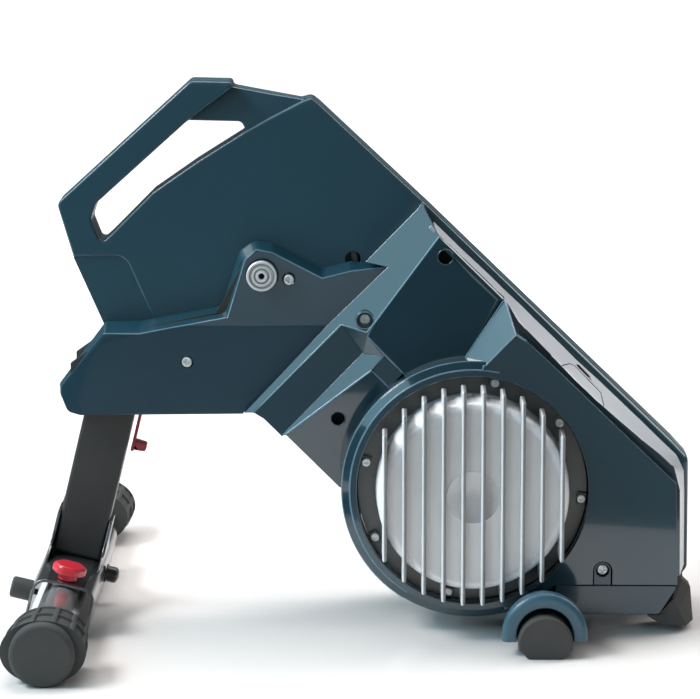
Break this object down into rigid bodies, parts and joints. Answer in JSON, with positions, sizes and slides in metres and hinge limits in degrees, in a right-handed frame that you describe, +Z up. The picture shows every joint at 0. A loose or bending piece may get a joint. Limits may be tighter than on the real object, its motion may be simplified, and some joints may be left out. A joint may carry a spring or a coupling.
{
  "type": "direct drive bike trainer",
  "caption": "Free-standing wheel-off trainer: freehub on a hub shaft, belt casing with carry handle, finned fluid brake, flywheel, folding front leg and cross tube feet",
  "frame": {"origin": "on the floor under the middle of the bounding box", "axes": "+X to the rear of the bike, +Y to its drive side, +Z up"},
  "size_m": [0.674, 0.6226, 0.5329],
  "materials": {
    "teal_cover": "satin dark teal",
    "blue_shroud": "satin dark blue grey",
    "silver_spine": "silver",
    "cast_metal": "cast and lightly polished",
    "black_steel": "black powder coat",
    "polished_metal": "polished",
    "plain_steel": "machined",
    "grey_rubber": "matt",
    "red_control": "satin red",
    "black_plastic": "matt"
  },
  "bodies": {
    "base": {"belt_casing_left": "teal_cover", "belt_casing_right": "teal_cover", "frame_plate_left": "black_steel", "frame_plate_right": "black_steel", "left_end_cap": "polished_metal", "hub_axle": "plain_steel", "right_end_cap": "polished_metal", "hub_bearing_left": "plain_steel", "hub_bearing_right": "plain_steel", "drive_belt": "grey_rubber", "idler_bolt": "plain_steel", "brake_housing": "cast_metal", "brake_back_shell": "cast_metal", "brake_bearing_left": "plain_steel", "brake_bearing_right": "plain_steel", "ring_screw_1": "plain_steel", "ring_screw_2": "plain_steel", "ring_screw_3": "plain_steel", "ring_screw_4": "plain_steel", "ring_screw_5": "plain_steel", "ring_screw_6": "plain_steel", "flywheel_cover": "teal_cover", "arm_cover_left": "teal_cover", "arm_cover_right": "teal_cover", "hub_cover_screw": "plain_steel", "arm_cover_screw": "plain_steel", "main_cover_left": "teal_cover", "strip_screw": "plain_steel", "lower_rear_cover": "teal_cover", "lower_cover_screw": "plain_steel", "rear_spine": "silver_spine", "leg_pivot_pin": "plain_steel", "fold_stop_bar": "plain_steel", "rear_cross_tube": "black_steel", "rear_shroud_left": "blue_shroud", "rear_foot_pad_left": "grey_rubber", "wedge_bumper_left": "grey_rubber", "rear_shroud_right": "blue_shroud", "rear_foot_pad_right": "grey_rubber", "wedge_bumper_right": "grey_rubber"},
    "hub_shaft": {"hub_pulley": "cast_metal"},
    "freehub": {"freehub_body": "plain_steel"},
    "brake_rotor": {"impeller": "cast_metal", "brake_shaft": "plain_steel", "brake_pulley": "plain_steel", "flywheel": "black_steel"},
    "idler": {"idler_pulley": "black_plastic"},
    "front_leg": {"leg_tube": "black_steel", "lever_pin": "plain_steel", "leg_saddle": "black_steel", "front_cross_tube": "polished_metal", "rubber_stop": "grey_rubber", "saddle_cap_nut": "black_steel"},
    "lever": {"release_lever": "red_control"},
    "knob": {"locking_knob": "red_control"},
    "foot_left": {"front_foot_left": "grey_rubber", "front_end_disc_left": "grey_rubber"},
    "foot_right": {"front_foot_right": "grey_rubber", "front_end_disc_right": "grey_rubber"}
  },
  "joints": [
    {"name": "brake_spin", "type": "hinge", "parent": "base", "child": "brake_rotor", "pos_m": [0.11825, 0, 0.142], "axis": [0, -1, 0], "continuous": true},
    {"name": "hub_spin", "type": "hinge", "parent": "base", "child": "hub_shaft", "pos_m": [-0.08775, 0, 0.345], "axis": [0, -1, 0], "continuous": true},
    {"name": "freehub_spin", "type": "hinge", "parent": "hub_shaft", "child": "freehub", "pos_m": [-0.08775, 0, 0.345], "axis": [0, -1, 0], "continuous": true},
    {"name": "idler_spin", "type": "hinge", "parent": "base", "child": "idler", "pos_m": [0.09528, 0, 0.25105], "axis": [0, -1, 0], "continuous": true},
    {"name": "leg_fold", "type": "hinge", "parent": "base", "child": "front_leg", "pos_m": [-0.22975, 0, 0.25], "axis": [0, -1, 0], "range_deg": [0, 62]},
    {"name": "lever_release", "type": "hinge", "parent": "front_leg", "child": "lever", "pos_m": [-0.20857, -0.009, 0.20991], "axis": [0, -1, 0], "range_deg": [0, 8], "stiffness_Nm_per_rad": 1, "springref_deg": -8.59},
    {"name": "knob_turn", "type": "hinge", "parent": "front_leg", "child": "knob", "pos_m": [-0.28275, -0.118, 0.03051], "axis": [0.2347, 0, 0.9721], "range_deg": [0, 720]},
    {"name": "foot_level_left", "type": "hinge", "parent": "front_leg", "child": "foot_left", "pos_m": [-0.28275, -0.266, 0.03051], "axis": [0, 1, 0], "range_deg": [-90, 90]},
    {"name": "foot_level_right", "type": "hinge", "parent": "front_leg", "child": "foot_right", "pos_m": [-0.28275, 0.266, 0.03051], "axis": [0, 1, 0], "range_deg": [-90, 90]}
  ],
  "couplings": [
    {"joint": "hub_spin", "follows": "brake_spin", "ratio": 0.20207},
    {"joint": "idler_spin", "follows": "brake_spin", "ratio": -1.3448}
  ]
}
